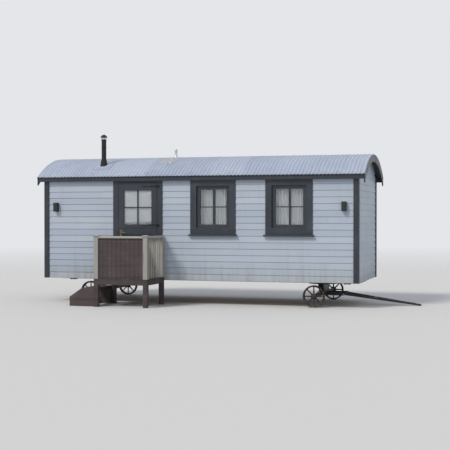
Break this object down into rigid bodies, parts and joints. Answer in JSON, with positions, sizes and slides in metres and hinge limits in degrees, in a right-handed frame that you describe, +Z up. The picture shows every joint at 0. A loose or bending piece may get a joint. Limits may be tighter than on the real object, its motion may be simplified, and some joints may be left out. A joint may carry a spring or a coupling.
{
  "type": "shepherd hut",
  "caption": "Long shepherd hut on small cast wheels with a low arched roof, a stable door with landing and steps, windows, a flue and a steered front axle with drawbar.",
  "frame": {"origin": "on the ground in the middle of the whole vehicle's box", "axes": "+Z up, +X along the hut towards the drawbar, -Y towards the door and the landing"},
  "size_m": [7.9484, 3.42, 3.54],
  "materials": {
    "painted_boards": "satin paint on boards",
    "dark_trim": "dark satin paint",
    "roof_metal": "pale grey-blue coated sheet, matt",
    "chassis_steel": "black paint",
    "wheel_iron": "painted casting",
    "floor_wood": "oiled boards",
    "lining_wood": "pine boards",
    "window_pane": "clear",
    "curtain_cloth": "plain weave",
    "black_iron": "matt black",
    "flue_metal": "matt black enamel",
    "flashing_metal": "dull",
    "landing_wood": "dark stain",
    "pale_wood": "weathered and painted",
    "handle_metal": "aged",
    "lamp_metal": "dark coated",
    "lamp_pane": "opal",
    "handle_steel": "worn"
  },
  "bodies": {
    "hut": {"chassis_rails": "chassis_steel", "cross_members": "chassis_steel", "outriggers": "chassis_steel", "jack_pads": "chassis_steel", "floor_boards": "floor_wood", "wall_front_left": "painted_boards", "wall_at_door": "painted_boards", "wall_front_right": "painted_boards", "wall_back": "painted_boards", "end_walls": "painted_boards", "corner_boards": "dark_trim", "roof_deck": "lining_wood", "roof_sheets": "roof_metal", "fascia_boards": "dark_trim", "bargeboards": "dark_trim", "window_frames": "dark_trim", "window_sashes": "dark_trim", "window_glass": "window_pane", "window_sills": "painted_boards", "curtain_rods": "black_iron", "rod_brackets": "black_iron", "curtains": "curtain_cloth", "door_jambs": "dark_trim", "door_head": "dark_trim", "threshold_board": "dark_trim", "door_pintles": "black_iron", "stove": "black_iron", "flue_pipe": "flue_metal", "flue_flashing": "flashing_metal", "roof_vent": "flashing_metal", "wall_lamps": "lamp_metal", "lamp_glasses": "lamp_pane", "rear_axle": "chassis_steel", "axle_hangers": "chassis_steel", "upper_turntable": "chassis_steel", "landing_frame": "landing_wood", "landing_deck": "landing_wood", "newels": "pale_wood", "landing_rails": "pale_wood", "landing_panel": "landing_wood", "balusters": "landing_wood", "step_strings": "landing_wood", "step_treads": "landing_wood"},
    "front_carriage": {"lower_turntable": "chassis_steel", "front_bolster": "chassis_steel", "front_axle": "chassis_steel", "drawbar_arms": "chassis_steel", "drawbar_pins": "handle_steel"},
    "drawbar": {"drawbar": "chassis_steel"},
    "wheel_front_near": {"wheel_front_near": "wheel_iron"},
    "wheel_front_far": {"wheel_front_far": "wheel_iron"},
    "wheel_rear_near": {"wheel_rear_near": "wheel_iron"},
    "wheel_rear_far": {"wheel_rear_far": "wheel_iron"},
    "lower_door": {"lower_leaf": "dark_trim", "lower_straps": "black_iron", "door_handle": "handle_metal"},
    "upper_door": {"upper_leaf": "dark_trim", "upper_straps": "black_iron", "door_glass": "window_pane"}
  },
  "joints": [
    {"name": "steering", "type": "hinge", "parent": "hut", "child": "front_carriage", "pos_m": [1.97579, 0.45, 0.434], "axis": [0, 0, 1], "range_deg": [-38, 38]},
    {"name": "drawbar_lift", "type": "hinge", "parent": "front_carriage", "child": "drawbar", "pos_m": [2.42579, 0.45, 0.22], "axis": [0, -1, 0], "range_deg": [0, 19]},
    {"name": "front_near_spin", "type": "hinge", "parent": "front_carriage", "child": "wheel_front_near", "pos_m": [1.97579, -0.58, 0.22], "axis": [0, 1, 0], "continuous": true},
    {"name": "front_far_spin", "type": "hinge", "parent": "front_carriage", "child": "wheel_front_far", "pos_m": [1.97579, 1.48, 0.22], "axis": [0, 1, 0], "continuous": true},
    {"name": "rear_near_spin", "type": "hinge", "parent": "hut", "child": "wheel_rear_near", "pos_m": [-2.82421, -0.58, 0.22], "axis": [0, 1, 0], "continuous": true},
    {"name": "rear_far_spin", "type": "hinge", "parent": "hut", "child": "wheel_rear_far", "pos_m": [-2.82421, 1.48, 0.22], "axis": [0, 1, 0], "continuous": true},
    {"name": "lower_door_swing", "type": "hinge", "parent": "hut", "child": "lower_door", "pos_m": [-1.28471, -0.73205, 0.6], "axis": [0, 0, 1], "range_deg": [0, 90]},
    {"name": "upper_door_swing", "type": "hinge", "parent": "hut", "child": "upper_door", "pos_m": [-1.28471, -0.73205, 1.6], "axis": [0, 0, 1], "range_deg": [0, 90]}
  ]
}
